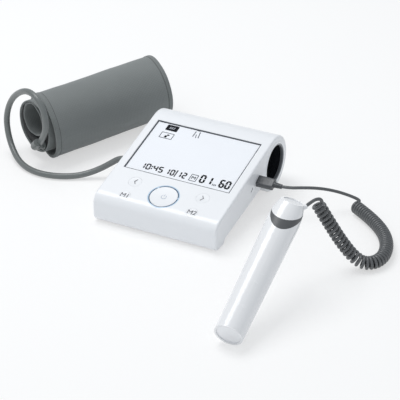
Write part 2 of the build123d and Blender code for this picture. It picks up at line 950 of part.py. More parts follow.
def stick_profile(shrink):
    """Half outline from the axis: straight flare, then short cones that curve in to the top."""
    top_w = stick_length + stick_top_slant
    low_w = -abs(stick_foot_slant) - 2
    slope = (stick_head_radius - stick_foot_radius) / stick_head_w
    low_radius = stick_foot_radius + slope * low_w - shrink
    head = (stick_head_radius - shrink, stick_head_w)
    step = (top_w - stick_head_w) / stick_shoulder_steps
    shoulder = [
        (head[0] - shoulder_fall(stick_head_w + step * (k + 1)), stick_head_w + step * (k + 1))
        for k in range(stick_shoulder_steps)
    ]
    return make_face(Polyline((0, low_w), (low_radius, low_w), head, *shoulder, (0, top_w), close=True))


def stick_solid(shrink):
    return revolve(Plane.XZ * stick_profile(shrink), Axis.Z)


def slant_plane(height, slant, roll=0.0):
    """Plane across the stick that is lower on its near side by the slant at its edge."""
    edge = stick_head_radius
    return Plane(origin=(0, 0, height), z_dir=(slant / edge, -roll / edge, 1))


def above(solid, plane):
    return split(solid, bisect_by=plane, keep=Keep.TOP)


def below(solid, plane):
    return split(solid, bisect_by=plane, keep=Keep.BOTTOM)


def stick_tube_body():
    """The whole stick's wall, cut to its two slanted ends."""
    body = stick_solid(0) - stick_solid(stick_wall)
    body = above(body, slant_plane(0, stick_foot_slant))
    return below(body, slant_plane(stick_length, stick_top_slant, stick_top_roll))


inlay_low = slant_plane(inlay_crossing, inlay_lower_slant, inlay_roll)
inlay_high = slant_plane(inlay_crossing, inlay_upper_slant, inlay_roll)


def make_stick_shell():
    body = below(stick_tube_body(), inlay_low)
    return stick_plane * above(body, slant_plane(end_ring_height, 0))


def make_stick_grip_inlay():
    return stick_plane * below(above(stick_tube_body(), inlay_low), inlay_high)


def make_stick_cap():
    return stick_plane * above(above(stick_tube_body(), inlay_low), inlay_high)


def make_stick_end_ring():
    return stick_plane * below(stick_tube_body(), slant_plane(end_ring_height, 0))


def make_electrode(height, slant, roll, outward):
    """Plate across the stick's end, set in from its rim for the fingertip."""
    core = stick_solid(stick_wall + electrode_gap)
    outer_face = height - outward * electrode_recess
    inner_face = outer_face - outward * electrode_thickness
    low, high = sorted((outer_face, inner_face))
    plate = below(above(core, slant_plane(low, slant, roll)), slant_plane(high, slant, roll))
    return stick_plane * plate


def make_upper_electrode():
    return make_electrode(stick_length, stick_top_slant, stick_top_roll, 1)


def make_lower_electrode():
    return make_electrode(0, stick_foot_slant, 0, -1)


def make_stick_board():
    """Board that slides into the shell and seats with its two long edges on the shell's wall."""
    start_w = end_ring_height + stick_board_start
    length = stick_length - start_w - stick_board_end_gap
    slope = (stick_head_radius - stick_foot_radius) / stick_head_w
    inner_radius = stick_foot_radius + slope * start_w - stick_wall
    half_width = sqrt((inner_radius - stick_board_gap) ** 2 - (stick_board_thickness / 2) ** 2)
    board = Box(stick_board_thickness, 2 * half_width, length)
    return stick_plane * Pos(0, 0, start_w + length / 2) * board


def gland_plane():
    """Plane on the stick's side where its lead comes out."""
    turn = radians(gland_angle)
    out = Vector(cos(turn), sin(turn), 0)
    spot = out * (stick_head_radius - shoulder_fall(gland_w)) + Vector(0, 0, gland_w)
    lean = radians(gland_rise)
    return Plane(origin=spot, z_dir=out * cos(lean) + Vector(0, 0, sin(lean)))


def gland_point(distance):
    spot = gland_plane()
    local = spot.from_local_coords(Vector(0, 0, distance))
    return stick_plane.from_local_coords(local)


def make_lead_gland():
    sleeve = gland_plane() * Pos(0, 0, -stick_wall) * extrude(Circle(gland_radius), gland_length + stick_wall)
    return stick_plane * (sleeve - stick_solid(0))


# Cuff

def cuff_slant(start, slant):
    """Plane across the cuff that leans by the given amounts at its radius."""
    back, up = slant
    return Plane(origin=(0, 0, start), z_dir=(-back / cuff_radius, -up / cuff_radius, 1))


def cuff_tube(outer, inner, centre, start, end):
    return extrude(Pos(centre[0], centre[1], start) * ring(outer, inner), end - start)


def cuff_sleeve(outer, inner, trim):
    """Outer layer of the cuff between its two slanted ends, shortened by the trim."""
    sleeve = cuff_tube(outer, inner, (0, 0), -20, cuff_length + 20)
    sleeve = above(sleeve, cuff_slant(trim, cuff_left_slant))
    return below(sleeve, cuff_slant(cuff_length - trim, cuff_right_slant))


def make_cuff_outer():
    outer = cuff_radius - binding_lap
    return cuff_plane * cuff_sleeve(outer, cuff_radius - cuff_cloth, binding_length)


def make_cuff_edge_binding():
    sleeve = cuff_sleeve(cuff_radius, cuff_radius - cuff_cloth - binding_lap, 0)
    left = below(sleeve, cuff_slant(binding_length, cuff_left_slant))
    right = above(sleeve, cuff_slant(cuff_length - binding_length, cuff_right_slant))
    return group([cuff_plane * left, cuff_plane * right])


def make_cuff_inner_wrap():
    inner = wrap_radius - wrap_cloth
    return cuff_plane * cuff_tube(wrap_radius, inner, wrap_centre, wrap_start, wrap_end)


def make_cuff_lining():
    inner = lining_radius - lining_cloth
    start = wrap_start + bladder_inset
    return cuff_plane * cuff_tube(lining_radius, inner, lining_centre, start, wrap_end)


def make_cuff_bladder():
    """Crescent between the rolled cloth and the lining."""
    room = Pos(*wrap_centre) * Circle(wrap_radius - wrap_cloth - bladder_gap)
    crescent = room - Pos(*lining_centre) * Circle(lining_radius + bladder_gap)
    start = wrap_start + 2 * bladder_inset
    return cuff_plane * extrude(Pos(0, 0, start) * crescent, wrap_end - bladder_inset - start)


def port_direction():
    """Way in which the hose comes to the port's corner, across the cuff's end."""
    from_hose = Vector(*hose_route[-1])
    corner = cuff_plane.from_local_coords(Vector(port_corner[0], port_corner[1], port_s))
    return (from_hose - corner).normalized()


def port_mouth():
    corner = cuff_plane.from_local_coords(Vector(port_corner[0], port_corner[1], port_s))
    return corner + port_direction() * port_reach


def make_hose_port():
    """Elbow that takes the hose into the bladder's end."""
    corner = cuff_plane.from_local_coords(Vector(port_corner[0], port_corner[1], port_s))
    seat_s = wrap_start + 2 * bladder_inset
    seat = cuff_plane.from_local_coords(Vector(port_corner[0], port_corner[1], seat_s))
    path = FilletPolyline(port_mouth(), corner, seat, radius=port_radius + 0.5)
    start = Plane(origin=path @ 0, z_dir=path % 0)
    elbow = sweep(start * Circle(port_radius), path=path)
    flange = Pos(port_corner[0], port_corner[1], seat_s - 1.5) * Circle(port_radius + 1.8)
    return elbow + cuff_plane * extrude(flange, 1.5)


def make_air_hose():
    mouth = port_mouth()
    return tube_along(hose_route + [(mouth.X, mouth.Y, mouth.Z)], hose_radius, "air_hose")


def make_air_plug():
    body_start = air_flange_thickness
    body = along_x(air_plane, Circle(hose_plug_radius), body_start, body_start + hose_plug_length)
    body += along_x(air_plane, Circle(air_port_bore - 0.1), -hose_nozzle_length, body_start)
    for rib in range(3):
        place = body_start + 3 + rib * 2.6
        body -= along_x(air_plane, ring(hose_plug_radius + 1, hose_plug_radius - 0.4), place, place + 1.2)
    return body


pieces = {
    "upper_housing": make_upper_housing(),
    "lower_housing": make_lower_housing(),
    "display_window": make_display_window(),
    "display_frame": make_display_frame(),
    "lcd_glass": make_lcd_glass(),
    "backlight_panel": make_backlight_panel(),
    "main_board": make_main_board(),
    "board_screws": make_board_screws(),
    "start_button": make_start_button(),
    "start_light_ring": make_start_light_ring(),
    "key_switches": make_key_switches(),
    "pump_motor": make_pump_motor(),
    "pump_head": make_pump_head(),
    "air_manifold": make_air_manifold(),
    "exhaust_valve": make_exhaust_valve(),
    "air_tubes": make_air_tubes(),
    "air_socket": make_air_socket(),
    "pressure_sensor": make_pressure_sensor(),
    "buzzer": make_buzzer(),
    "battery_cover": make_battery_cover(),
    "batteries": make_batteries(),
    "battery_contacts": make_battery_contacts(),
    "stick_tube": make_stick_tube(),
    "tube_mouth_ring": make_tube_mouth_ring(),
    "usb_socket": make_usb_socket(),
    "side_slot_insert": make_side_slot_insert(),
    "housing_screws": make_housing_screws(),
    "front_foot": make_foot(front_foot_block()),
    "rear_foot": make_foot(rear_foot_block()),
    "usb_plug_body": make_usb_plug_body(),
    "usb_plug_shell": make_usb_plug_shell(),
    "plug_strain_relief": make_plug_strain_relief(),
    "lead_straight": make_lead_straight(),
    "lead_coil": make_lead_coil(),
    "lead_tail": make_lead_tail(),
    "lead_gland": make_lead_gland(),
    "stick_shell": make_stick_shell(),
    "stick_grip_inlay": make_stick_grip_inlay(),
    "stick_cap": make_stick_cap(),
    "stick_end_ring": make_stick_end_ring(),
    "upper_electrode": make_upper_electrode(),
    "lower_electrode": make_lower_electrode(),
    "stick_board": make_stick_board(),
    "cuff_outer": make_cuff_outer(),
    "cuff_edge_binding": make_cuff_edge_binding(),
    "cuff_inner_wrap": make_cuff_inner_wrap(),
    "cuff_bladder": make_cuff_bladder(),
    "cuff_lining": make_cuff_lining(),
    "hose_port": make_hose_port(),
    "air_hose": make_air_hose(),
    "air_plug": make_air_plug(),
}
for name, (u, s, radius) in key_places.items():
    pieces[name] = make_key(u, s, radius)

os.makedirs("parts", exist_ok=True)
for name, solid in pieces.items():
    export_step(Pos(0, -foot_middle, 0) * solid, f"parts/{name}.step")
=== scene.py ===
import math

import bmesh
import bpy
from mathutils import Matrix, Vector, noise


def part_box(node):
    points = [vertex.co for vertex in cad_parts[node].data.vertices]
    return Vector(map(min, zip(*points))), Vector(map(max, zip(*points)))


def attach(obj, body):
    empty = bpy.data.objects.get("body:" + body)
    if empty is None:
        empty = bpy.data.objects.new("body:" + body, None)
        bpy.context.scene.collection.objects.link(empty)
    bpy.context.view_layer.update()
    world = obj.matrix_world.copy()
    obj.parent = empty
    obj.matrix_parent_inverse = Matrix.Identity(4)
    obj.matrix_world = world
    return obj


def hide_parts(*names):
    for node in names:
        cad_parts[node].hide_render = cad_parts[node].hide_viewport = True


bl_info = {
    "name": "Blood Pressure Monitor",
    "version": (1, 0, 0),
    "blender": (4, 5, 0),
    "location": "View3D > Sidebar > Monitor",
    "description": "Finishes and soft parts of an upper arm blood pressure monitor",
    "category": "Object",
}

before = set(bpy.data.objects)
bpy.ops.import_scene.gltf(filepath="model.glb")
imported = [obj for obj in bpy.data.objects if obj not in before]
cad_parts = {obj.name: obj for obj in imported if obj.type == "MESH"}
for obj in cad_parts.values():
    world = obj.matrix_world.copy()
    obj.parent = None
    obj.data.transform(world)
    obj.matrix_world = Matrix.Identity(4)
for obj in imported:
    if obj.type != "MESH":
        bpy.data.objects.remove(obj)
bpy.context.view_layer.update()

MM = 0.001
BODY = "monitor"

# Sizes in millimetres. Places on the panel are u across it and s up it from the front of the nose.
FRONT_FOOT = 11.5
PANEL_TILT = math.radians(12.8)
PANEL_FOOT_Z = 28.849
DISPLAY_MIDDLE = 84.65
WINDOW_MIDDLE_DEPTH = 0.75
FACE_DEPTH = 1.06
MARK_DEPTH = 1.0
PRINT_THICKNESS = 0.04
LABEL_LIFT = 0.05
DIGIT_SHEAR = -0.06
START_S = 22.0
START_LABEL_DEPTH = 0.43
RING_LINE_RADIUS = 14.2
RING_LINE_EDGE = 14.75
STORE_RADIUS = 20.0
RIM_GREY_WIDTH = 0.9
SLEEVE_WALL = 1.05
SLEEVE_GAP = 0.05
SLEEVE_FRONT = 0.6
SLEEVE_BACK = 2.9
CUFF_END = (-174.2, 90.06)
CUFF_HEADING = math.radians(64.75)
CUFF_RADIUS = 34.7
CUFF_LENGTH = 145.8
HEM_WIDTH = 5.0
SEAM_WIDTH = 0.7

# Coil of the lead, with lengths along its middle line in metres
COIL_HANGS = 0.068
COIL_CLOSES = 0.02
POINTS_PER_TURN = 14

# Camera, with its lens in millimetres and its distance and target in metres
CAMERA_LENS = 140.04
CAMERA_AZIMUTH = math.radians(26.55)
CAMERA_HEIGHT = math.radians(31.0)
CAMERA_DISTANCE = 1.5302
CAMERA_TARGET = (0.00843, 0.06995, 0)

# Phase in radians that Blender's wave texture adds over each unit of its scaled place
WAVE_PHASE = 20

# Points of the cords' routes, from the front of the nose, as the model has them
HOSE_ROUTE = [
    (-78.4, 86.0, 22.4), (-84.6, 85.7, 21.0), (-91.2, 82.0, 16.4), (-99.5, 76.8, 11.0), (-109.5, 70.2, 6.3),
    (-121.5, 62.2, 3.5), (-136.5, 54.3, 3.3), (-154.5, 50.5, 3.3), (-172.5, 53.3, 3.4),
    (-188.3, 61.2, 5.0), (-202.0, 72.0, 10.0), (-212.5, 81.0, 20.5), (-217.0, 86.5, 37.0),
    (-209.5, 84.5, 57.5), (-194.5, 77.5, 74.0), (-177.0, 69.0, 84.0), (-162.5, 62.0, 83.0),
    (-153.0, 58.0, 74.0), (-149.5, 56.5, 60.5), (-152.5, 58.0, 46.0), (-164.2, 66.9, 29.4),
]
LEAD_ROUTE = [
    (90.7, 92.4, 31.0), (98.6, 93.8, 31.0), (107.5, 98.6, 31.0), (116.4, 105.7, 29.5), (124.6, 113.6, 26.5),
    (132.8, 122.0, 22.0), (141.1, 127.7, 18.0), (149.2, 131.3, 14.5), (155.8, 131.8, 12.5),
]
COIL_ROUTE = [
    (157.4, 18.2, 70.2), (163.6, 20.9, 58.1), (169.8, 24.0, 46.0), (175.5, 27.3, 34.5),
    (181.6, 31.0, 23.5), (188.4, 34.3, 13.6), (197.4, 36.4, 7.6), (206.2, 43.2, 6.9),
    (209.6, 55.8, 6.9), (207.2, 71.0, 6.9), (201.4, 84.7, 6.9), (192.9, 97.0, 6.9),
    (181.2, 108.4, 6.9), (167.3, 119.0, 6.9), (154.5, 127.2, 6.9),
]
TAIL_ROUTE = [
    (153.2, 1.9, 75.7), (155.0, 8.4, 76.4), (157.6, 13.2, 77.6), (161.0, 16.8, 76.8),
]

SEGMENTS = {
    "0": "abcdef", "1": "bc", "2": "abged", "4": "fgbc", "5": "afgcd", "6": "afgcde",
}


class ConsoleSettings(bpy.types.PropertyGroup):
    white: bpy.props.FloatVectorProperty(
        name="Housing", description="Colour of the glossy mouldings", subtype="COLOR",
        size=3, default=(0.86, 0.87, 0.89), min=0, max=1)
    lcd: bpy.props.FloatVectorProperty(
        name="Display", description="Colour of the display's ground", subtype="COLOR",
        size=3, default=(0.87, 0.89, 0.93), min=0, max=1)
    ring: bpy.props.FloatVectorProperty(
        name="Light ring", description="Colour of the ring round the start button", subtype="COLOR",
        size=3, default=(0.022, 0.075, 0.155), min=0, max=1)
    label_size: bpy.props.FloatProperty(
        name="Label height", description="Size of the key labels", unit="LENGTH",
        default=0.0077, min=0.002, max=0.02)


class CuffSettings(bpy.types.PropertyGroup):
    cloth: bpy.props.FloatVectorProperty(
        name="Cloth", description="Colour of the cuff's cloth", subtype="COLOR",
        size=3, default=(0.185, 0.200, 0.197), min=0, max=1)
    thread_pitch: bpy.props.FloatProperty(
        name="Thread pitch", description="Distance from thread to thread of the weave", unit="LENGTH",
        default=0.0009, min=0.0002, max=0.004)
    sag: bpy.props.FloatProperty(
        name="Folds", description="Depth of the soft folds in the sleeve", unit="LENGTH",
        default=0.0008, min=0, max=0.004)


class LeadSettings(bpy.types.PropertyGroup):
    wire: bpy.props.FloatProperty(
        name="Lead diameter", description="Diameter of the curly lead's wire", unit="LENGTH",
        default=0.0031, min=0.001, max=0.006)
    coil_radius: bpy.props.FloatProperty(
        name="Coil radius", description="Radius of the coil at the middle of its wire", unit="LENGTH",
        default=0.00512, min=0.002, max=0.02)
    loose_pitch: bpy.props.FloatProperty(
        name="Hanging pitch", description="Distance from turn to turn where the coil hangs", unit="LENGTH",
        default=0.0048, min=0.002, max=0.02)
    close_pitch: bpy.props.FloatProperty(
        name="Lying pitch", description="Distance from turn to turn where the coil lies", unit="LENGTH",
        default=0.0033, min=0.002, max=0.02)
    hose: bpy.props.FloatProperty(
        name="Hose diameter", description="Diameter of the air hose", unit="LENGTH",
        default=0.0063, min=0.003, max=0.012)


class StageSettings(bpy.types.PropertyGroup):
    floor: bpy.props.FloatVectorProperty(
        name="Floor", description="Colour of the floor", subtype="COLOR",
        size=3, default=(0.95, 0.95, 0.95), min=0, max=1)
    key_power: bpy.props.FloatProperty(
        name="Main lamp", description="Power of the large lamp over the left side",
        default=12.5, min=0, max=500)
    fill_power: bpy.props.FloatProperty(
        name="Fill lamp", description="Power of the low lamp in front", default=3.0, min=0, max=500)


class Value:
    """One output of a finish's nodes, which can be used in sums."""

    def __init__(self, finish, socket):
        self.finish = finish
        self.socket = socket

    def work_out(self, operation, first, second):
        return self.finish.node("ShaderNodeMath", {"operation": operation}, {0: first, 1: second})

    def __add__(self, other):
        return self.work_out("ADD", self, other)

    def __rsub__(self, other):
        return self.work_out("SUBTRACT", other, self)

    def __mul__(self, other):
        return self.work_out("MULTIPLY", self, other)


class Finish:
    """A material with its main shader, whose nodes are added one by one."""

    def __init__(self, name):
        self.material = bpy.data.materials.new(name)
        self.material.use_nodes = True
        self.tree = self.material.node_tree
        self.shader = self.tree.nodes["Principled BSDF"]

    def node(self, kind, settings=None, inputs=None, output=0):
        made = self.tree.nodes.new(kind)
        for key, setting in (settings or {}).items():
            setattr(made, key, setting)
        for key, value in (inputs or {}).items():
            self.feed(made.inputs[key], value)
        return Value(self, made.outputs[output])

    def feed(self, socket, value):
        if isinstance(value, Value):
            self.tree.links.new(value.socket, socket)
        else:
            socket.default_value = value

    def set(self, **values):
        for key, value in values.items():
            self.feed(self.shader.inputs[key.replace("_", " ")], value)

    def place(self, kind="Object"):
        return self.node("ShaderNodeTexCoord", output=kind)

    def noise(self, scale, detail=3.0):
        inputs = {"Vector": self.place(), "Scale": scale, "Detail": detail}
        return self.node("ShaderNodeTexNoise", {}, inputs)

    def mix(self, factor, first, second):
        settings = {"data_type": "RGBA"}
        inputs = {0: factor, 6: first, 7: second}
        return self.node("ShaderNodeMix", settings, inputs, 2)

    def near(self, place, spot, reach, soft):
        """1 round a spot, falling to 0 at the reach over a soft width, in millimetres."""
        distance = self.node("ShaderNodeVectorMath", {"operation": "DISTANCE"}, {0: place, 1: spot}, "Value")
        inputs = {0: reach * MM - distance, 1: 1 / (soft * MM)}
        return self.node("ShaderNodeMath", {"operation": "MULTIPLY", "use_clamp": True}, inputs)

    def gloss(self, roughness, coat):
        """Uneven gloss with a thin clear coat."""
        uneven = self.noise(160.0) * 0.08 + (roughness - 0.04)
        self.set(Roughness=uneven, Coat_Weight=coat, Coat_Roughness=0.06)

    def bump(self, height, strength, depth):
        inputs = {"Height": height, "Strength": strength, "Distance": depth}
        self.set(Normal=self.node("ShaderNodeBump", {}, inputs))


def tinted(colour, factor):
    """Colour made lighter or darker, with its alpha."""
    return (*(min(1.0, part * factor) for part in colour[:3]), 1)


def moulding(name, colour, roughness, coat=0.0, grain=900.0, depth=0.00002, metal=0.0,
             mottle=0.05, shine=0.5):
    """Moulded or turned finish: faint clouding, uneven gloss and a fine grain."""
    finish = Finish(name)
    cloud = finish.noise(45.0)
    finish.set(
        Base_Color=finish.mix(cloud, tinted(colour, 1 - mottle), tinted(colour, 1 + mottle / 2)),
        Metallic=metal,
        Specular_IOR_Level=shine,
    )
    finish.gloss(roughness, coat)
    finish.bump(finish.noise(grain, 2.0), 0.25, depth)
    return finish.material


def woven(name, colour, pitch):
    """Plain weave on the piece's own UV map, with worn and darker patches."""
    finish = Finish(name)
    place = finish.place("UV")
    waves = []
    for direction in ("X", "Y"):
        settings = {"wave_type": "BANDS", "bands_direction": direction}
        inputs = {"Vector": place, "Scale": math.pi / (pitch * WAVE_PHASE), "Distortion": 0.6, "Detail": 1.0}
        waves.append(finish.node("ShaderNodeTexWave", settings, inputs, 1))
    weave = waves[0] * waves[1]
    patches = finish.noise(14.0, 5.0)
    fine = finish.noise(420.0, 2.0)
    shade = patches * 0.6 + weave * 0.25 + fine * 0.15
    finish.set(
        Base_Color=finish.mix(shade, tinted(colour, 0.72), tinted(colour, 1.28)),
        Roughness=patches * 0.1 + 0.78,
        Sheen_Weight=0.25,
        Sheen_Roughness=0.5,
    )
    finish.bump(weave + fine * 0.4, 0.5, 0.0002)
    return finish.material


def clear_window(name):
    """Clear plastic, which hardly darkens what is behind it and keeps a faint gloss."""
    finish = Finish(name)
    finish.set(Base_Color=(0.05, 0.055, 0.06, 1), Roughness=finish.noise(60.0) * 0.04 + 0.03, Alpha=0.06)
    return finish.material


def glowing_ground(name, colour):
    """Display ground: pale, with a faint painted glow that brightens it, and a faint pixel mesh."""
    finish = Finish(name)
    cloud = finish.noise(20.0)
    tint = finish.mix(cloud, tinted(colour, 0.97), tinted(colour, 1.02))
    finish.set(Base_Color=tint, Roughness=finish.noise(200.0) * 0.1 + 0.35, Emission_Color=tint)
    # Painted glow: the ground shines faintly by itself so that it looks brighter.
    finish.set(Emission_Strength=0.11)
    finish.bump(finish.noise(2500.0, 1.0), 0.1, 0.00001)
    return finish.material


def lit_ring(name, colour):
    """Light ring: a dark line next to the button, broken twice, and a pale glow outside it."""
    finish = Finish(name)
    place = finish.place()
    line = finish.near(place, panel_matrix(0, START_S, 0).translation, RING_LINE_EDGE, 0.3)
    for angle in (8, 138):
        turn = math.radians(angle)
        across, up = RING_LINE_RADIUS * math.cos(turn), RING_LINE_RADIUS * math.sin(turn)
        gap = panel_matrix(across, START_S + up, 0).translation
        line = line * (1 - finish.near(place, gap, 1.5, 0.8))
    finish.set(Base_Color=finish.mix(line, (0.50, 0.64, 0.78, 1), (*colour[:3], 1)))
    finish.gloss(0.30, 0.4)
    return finish.material


def mouth_middle():
    """Middle of the store's mouth, on the case's side, and how far out its ring stands."""
    low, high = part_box("tube_mouth_ring")
    return Vector((0, (low[1] + high[1]) / 2, (low[2] + high[2]) / 2)), high[0]


def rimmed(name, colour, outer):
    """Ring round the store's mouth, grey next to the opening and white where it meets the case."""
    finish = Finish(name)
    flat = finish.node("ShaderNodeVectorMath", {"operation": "MULTIPLY"}, {0: finish.place(), 1: (0, 1, 1)})
    grey = finish.near(flat, mouth_middle()[0], STORE_RADIUS + RIM_GREY_WIDTH, 0.3)
    finish.set(Base_Color=finish.mix(grey, tinted(outer, 1.0), tinted(colour, 1.0)))
    finish.gloss(0.28, 0.3)
    return finish.material


def finish_nodes(material, *nodes):
    """Give nodes of the frame their finish."""
    for name in nodes:
        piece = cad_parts[name]
        for slot in piece.material_slots:
            slot.material = material
        if not piece.material_slots:
            piece.data.materials.append(material)


def panel_matrix(u, s, lift):
    """Place on the sloping panel, in millimetres, lifted out of its surface."""
    tilt = Matrix.Rotation(PANEL_TILT, 4, "X")
    origin = Matrix.Translation(Vector((0, -FRONT_FOOT, PANEL_FOOT_Z)) * MM)
    return origin @ tilt @ Matrix.Translation(Vector((u, s, lift)) * MM)


def new_piece(name, mesh, material, smooth=True):
    """Object at the origin for a finished mesh."""
    piece = bpy.data.objects.new(name, mesh)
    bpy.context.collection.objects.link(piece)
    mesh.materials.append(material)
    if smooth:
        mesh.shade_smooth()
    return piece


def riding(name, mesh, material, body=BODY, smooth=True):
    """Piece that moves with a body."""
    piece = new_piece(name, mesh, material, smooth)
    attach(piece, body)
    return piece


def mesh_of(bm, name):
    """Mesh of a finished bmesh, with its faces turned outwards."""
    bmesh.ops.recalc_face_normals(bm, faces=bm.faces)
    mesh = bpy.data.meshes.new(name)
    bm.to_mesh(mesh)
    bm.free()
    return mesh


def printed(bm, name, place, material, body=BODY):
    """Piece from bars drawn flat in millimetres, at its place on the panel."""
    bmesh.ops.scale(bm, verts=bm.verts, vec=(MM, MM, MM))
    mesh = mesh_of(bm, name)
    mesh.transform(place)
    return riding(name, mesh, material, body, smooth=False)


def panel_text(name, text, u, s, size, lift, material, body):
    """Printed label, made from the built-in lettering."""
    curve = bpy.data.curves.new(name, "FONT")
    curve.body = text
    curve.size = size
    curve.align_x = "CENTER"
    curve.align_y = "CENTER"
    curve.extrude = PRINT_THICKNESS / 2 * MM
    holder = bpy.data.objects.new(name, curve)
    bpy.context.collection.objects.link(holder)
    mesh = bpy.data.meshes.new_from_object(holder)
    bpy.data.objects.remove(holder)
    mesh.transform(panel_matrix(u, s, lift))
    return riding(name, mesh, material, body, smooth=False)


def add_bar(bm, centre, size, shear=0.0, turn=0.0):
    """Flat bar on the panel, in millimetres, leaning over by the shear."""
    lean = Matrix.Identity(4)
    lean[0][1] = shear
    place = Matrix.Translation(Vector((centre[0], centre[1], 0)))
    matrix = place @ lean @ Matrix.Rotation(turn, 4, "Z") @ Matrix.Diagonal((*size, PRINT_THICKNESS, 1))
    bmesh.ops.create_cube(bm, size=1.0, matrix=matrix)


def add_digits(bm, text, u, s, height, width, pitch, stroke):
    """Row of seven-bar digits, from a left edge and a middle height."""
    shear = DIGIT_SHEAR
    reach = height / 2
    for sign in text:
        if sign == ":":
            for dot in (reach * 0.45, -reach * 0.45):
                add_bar(bm, (u + stroke * 0.3 + dot * shear, s + dot), (stroke, stroke), shear)
            u += stroke * 1.2
            continue
        places = {
            "a": (0, reach, 1), "g": (0, 0, 1), "d": (0, -reach, 1),
            "f": (-1, reach / 2, 0), "b": (1, reach / 2, 0),
            "e": (-1, -reach / 2, 0), "c": (1, -reach / 2, 0),
        }
        for bar in SEGMENTS[sign]:
            side, rise, lying = places[bar]
            size = (width - stroke, stroke) if lying else (stroke, reach - stroke * 0.35)
            x = u + width / 2 + side * (width - stroke) / 2 + rise * shear
            add_bar(bm, (x, s + rise), size, shear)
        u += pitch


def add_plate(bm, centre, size, corner):
    """Flat plate with round corners."""
    matrix = Matrix.Translation((*centre, 0)) @ Matrix.Diagonal((*size, PRINT_THICKNESS, 1))
    made = bmesh.ops.create_cube(bm, size=1.0, matrix=matrix)
    corners = [edge for edge in {e for v in made["verts"] for e in v.link_edges}
               if abs(edge.verts[0].co.z - edge.verts[1].co.z) > PRINT_THICKNESS / 2]
    bmesh.ops.bevel(bm, geom=corners, offset=corner, segments=4, profile=0.5, affect="EDGES", material=-1)


def add_border(bm, centre, size, stroke):
    """Outlined box."""
    width, height = size
    for side in (-1, 1):
        add_bar(bm, (centre[0], centre[1] + side * (height - stroke) / 2), (width - stroke, stroke))
        add_bar(bm, (centre[0] + side * (width - stroke) / 2, centre[1]), (stroke, height - stroke * 1.2))


def smooth_line(points, name):
    """Points along the smooth line that a route's points control."""
    curve = route_curve(points, name)
    holder = bpy.data.objects.new(name, curve)
    bpy.context.collection.objects.link(holder)
    mesh = bpy.data.meshes.new_from_object(holder)
    line = [vertex.co.copy() for vertex in mesh.vertices]
    bpy.data.objects.remove(holder)
    return line


def route_curve(points, name, diameter=0.0):
    """Cord's curve: one smooth spline that the route's points control."""
    curve = bpy.data.curves.new(name, "CURVE")
    curve.dimensions = "3D"
    curve.resolution_u = 8
    spline = curve.splines.new("NURBS")
    spline.points.add(len(points) - 1)
    for point, place in zip(spline.points, points):
        point.co = (*place, 1)
    spline.order_u = 3
    spline.use_endpoint_u = True
    curve.bevel_depth = diameter / 2
    curve.bevel_resolution = 4
    curve.use_fill_caps = True
    return curve


def in_place(points):
    """Route's points in metres, from the console's own origin."""
    return [Vector((x, y - FRONT_FOOT, z)) * MM for x, y, z in points]


def line_length(points):
    return sum((b - a).length for a, b in zip(points, points[1:]))


def wound(line, radius, pitch_at, first, last):
    """Turns round a line, starting towards one point and ending towards another."""
    tangent = (line[1] - line[0]).normalized()
    side = first - line[0]
    side = (side - tangent * side.dot(tangent)).normalized()
    places = [(0.0, line[0], tangent, side)]
    total = 0.0
    phase = [0.0]
    for a, b in zip(line, line[1:]):
        step = (b - a).length
        if step < 1e-7:
            continue
        new_tangent = (b - a).normalized()
        side = tangent.rotation_difference(new_tangent) @ side
        side = (side - new_tangent * side.dot(new_tangent)).normalized()
        tangent = new_tangent
        total += step
        places.append((total, b, tangent, side))
        phase.append(phase[-1] + math.tau * step / pitch_at(total))
    end_side = last - line[-1]
    up = tangent.cross(side)
    wanted = math.atan2(end_side.dot(up), end_side.dot(side)) % math.tau
    turns = round((phase[-1] - wanted) / math.tau)
    scale = (turns * math.tau + wanted) / phase[-1]
    count = int(phase[-1] * scale / math.tau * POINTS_PER_TURN)
    result = []
    index = 0
    for k in range(count + 1):
        angle = phase[-1] * scale * k / count
        while index < len(phase) - 2 and phase[index + 1] * scale < angle:
            index += 1
        span = (phase[index + 1] - phase[index]) * scale
        part = min(1.0, max(0.0, (angle - phase[index] * scale) / span))
        spot = places[index][1].lerp(places[index + 1][1], part)
        way = places[index][2].lerp(places[index + 1][2], part).normalized()
        out = places[index][3].lerp(places[index + 1][3], part)
        out = (out - way * out.dot(way)).normalized()
        result.append(spot + (out * math.cos(angle) + way.cross(out) * math.sin(angle)) * radius)
    return result


def cuff_matrix():
    """Place of the cuff's roll: its line along Z, from its left end."""
    sin, cos = math.sin(CUFF_HEADING), math.cos(CUFF_HEADING)
    matrix = Matrix(((-sin, 0, cos, 0), (cos, 0, sin, 0), (0, 1, 0, 0), (0, 0, 0, 1)))
    origin = Vector((CUFF_END[0], CUFF_END[1] - FRONT_FOOT, CUFF_RADIUS)) * MM
    return Matrix.Translation(origin) @ matrix


def lay_weave(bm, radius, length):
    """UV map in metres: round the tube and along it."""
    layer = bm.loops.layers.uv.new("weave")
    for face in bm.faces:
        angles = [math.atan2(loop.vert.co.y, loop.vert.co.x) for loop in face.loops]
        wraps = max(angles) - min(angles) > math.pi
        for loop, angle in zip(face.loops, angles):
            if wraps and angle < 0:
                angle += math.tau
            along = (loop.vert.co.z + 0.5) * length
            loop[layer].uv = (angle * radius * MM, along * MM)


def soft_fold(direction, s, seed):
    """Height of the cloth's folds, from about -1 to 1."""
    angle = math.atan2(direction.y, direction.x)
    wave = math.sin(angle * 3 + s * 0.035 + seed) * 0.5 + math.sin(angle * 7 - s * 0.06 + seed * 2) * 0.22
    return wave + noise.noise(Vector((direction.x * 2, direction.y * 2, s * 0.05 + seed))) * 0.8


